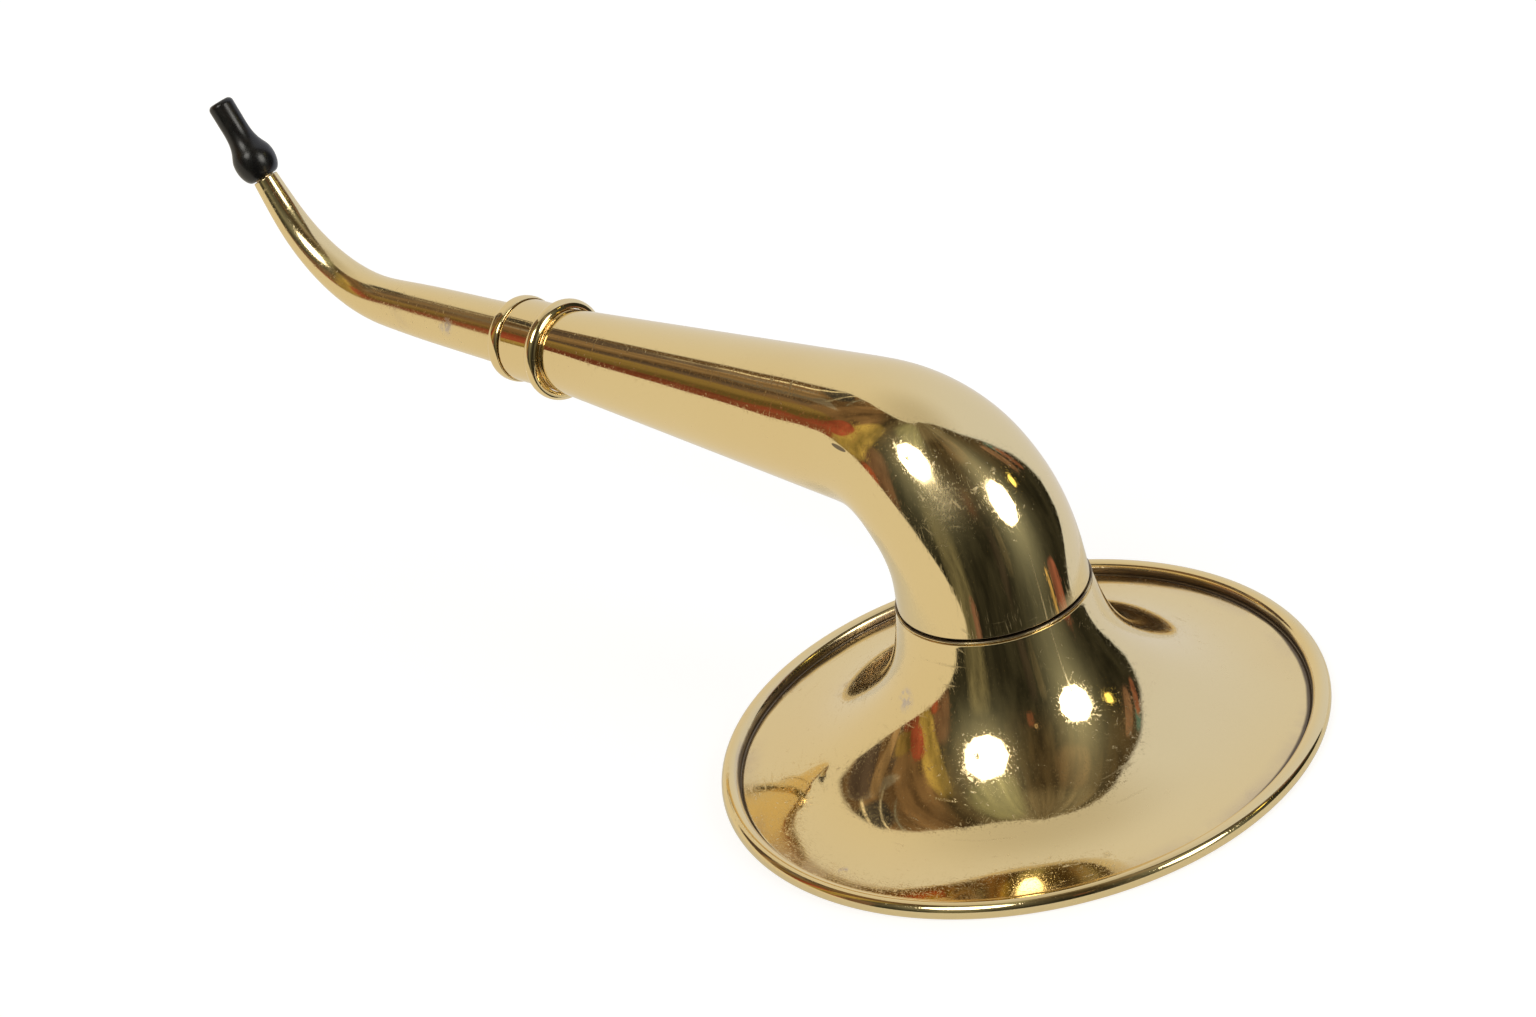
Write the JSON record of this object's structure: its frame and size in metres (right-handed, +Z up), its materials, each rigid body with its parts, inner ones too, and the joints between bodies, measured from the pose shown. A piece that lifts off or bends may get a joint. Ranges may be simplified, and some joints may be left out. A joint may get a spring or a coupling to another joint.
{
  "type": "ear trumpet",
  "caption": "Ear trumpet: a bent conical brass horn on a flared bell with a wired rim, joined by a beaded ferrule to a thin bent ear tube with a black ear tip.",
  "frame": {"origin": "middle of the whole object's footprint, on the surface that the bell's rim stands on", "axes": "+Z up along the bell's axis, from the rim to the neck; +X from the ear tip towards the bell, so the tubes reach towards -X; the centre line of all the tubes lies in the plane y = 0"},
  "size_m": [0.3372, 0.15, 0.1304],
  "materials": {
    "polished_brass": "polished",
    "turned_brass": "fine turned",
    "iron_wire": "drawn wire",
    "ebonite": "soft gloss hard rubber"
  },
  "bodies": {
    "bell": {"bell": "polished_brass", "rim_wire": "iron_wire", "neck_socket": "turned_brass"},
    "neck_tenon": {"neck_tenon": "turned_brass"},
    "body": {"body_tube": "polished_brass", "ferrule_sleeve": "polished_brass", "ferrule_bead_large": "polished_brass", "ferrule_bead_small": "polished_brass"},
    "ear_tenon": {"ear_tenon": "turned_brass"},
    "ear_tube": {"ear_tube": "polished_brass", "ear_nipple": "turned_brass"},
    "ear_tip": {"ear_tip": "ebonite"}
  },
  "joints": [
    {"name": "bell_pull", "type": "slide", "parent": "bell", "child": "neck_tenon", "axis": [0, 0, 1], "range_m": [0, 0.014]},
    {"name": "bell_turn", "type": "hinge", "parent": "neck_tenon", "child": "body", "pos_m": [0.09356, 0, 0.0435], "axis": [0, 0, 1], "continuous": true},
    {"name": "ear_tube_pull", "type": "slide", "parent": "body", "child": "ear_tenon", "axis": [-1, 0, -0.0077], "range_m": [0, 0.024]},
    {"name": "ear_tube_turn", "type": "hinge", "parent": "ear_tenon", "child": "ear_tube", "pos_m": [-0.04524, 0, 0.07843], "axis": [-1, 0, -0.0077], "continuous": true},
    {"name": "ear_tip_pull", "type": "slide", "parent": "ear_tube", "child": "ear_tip", "axis": [-0.4648, 0, 0.8854], "range_m": [0, 0.013]}
  ]
}
